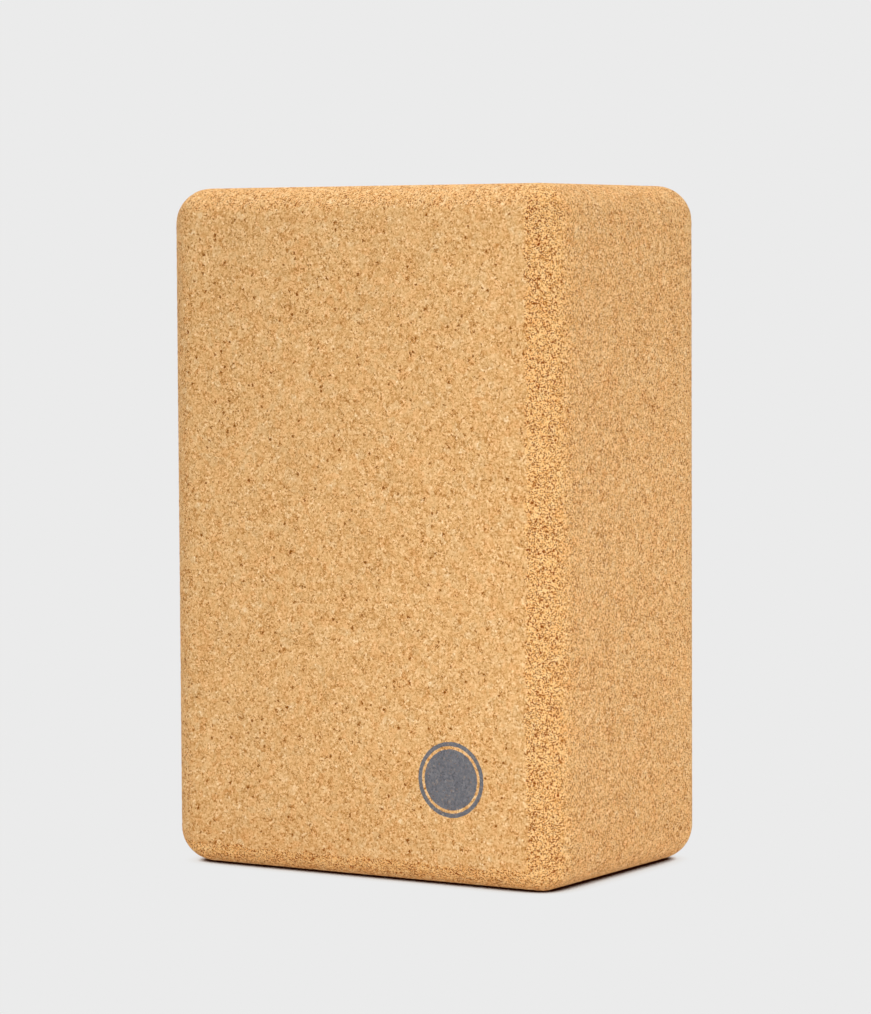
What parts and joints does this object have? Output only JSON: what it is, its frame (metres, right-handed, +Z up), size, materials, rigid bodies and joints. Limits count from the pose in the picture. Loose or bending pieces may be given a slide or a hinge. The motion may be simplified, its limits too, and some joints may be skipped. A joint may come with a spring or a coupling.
{
  "type": "yoga block",
  "caption": "Rectangular yoga block of pressed cork with rounded edges and a plain printed roundel, a firm prop that rests on any of its flat faces.",
  "frame": {"origin": "middle of the foot end, the small face that the block stands on", "axes": "+Z up along the block's length, X across the broad faces, -Y the way the printed broad face looks"},
  "size_m": [0.1524, 0.1016, 0.2286],
  "materials": {
    "cork": "matte agglomerated cork, sanded on the flat faces and rough along the routed edges",
    "grey_ink": "matte printing ink soaked into the cork"
  },
  "bodies": {
    "root": {"cork_block": "cork", "roundel_disc": "grey_ink", "roundel_ring": "grey_ink"}
  },
  "joints": []
}
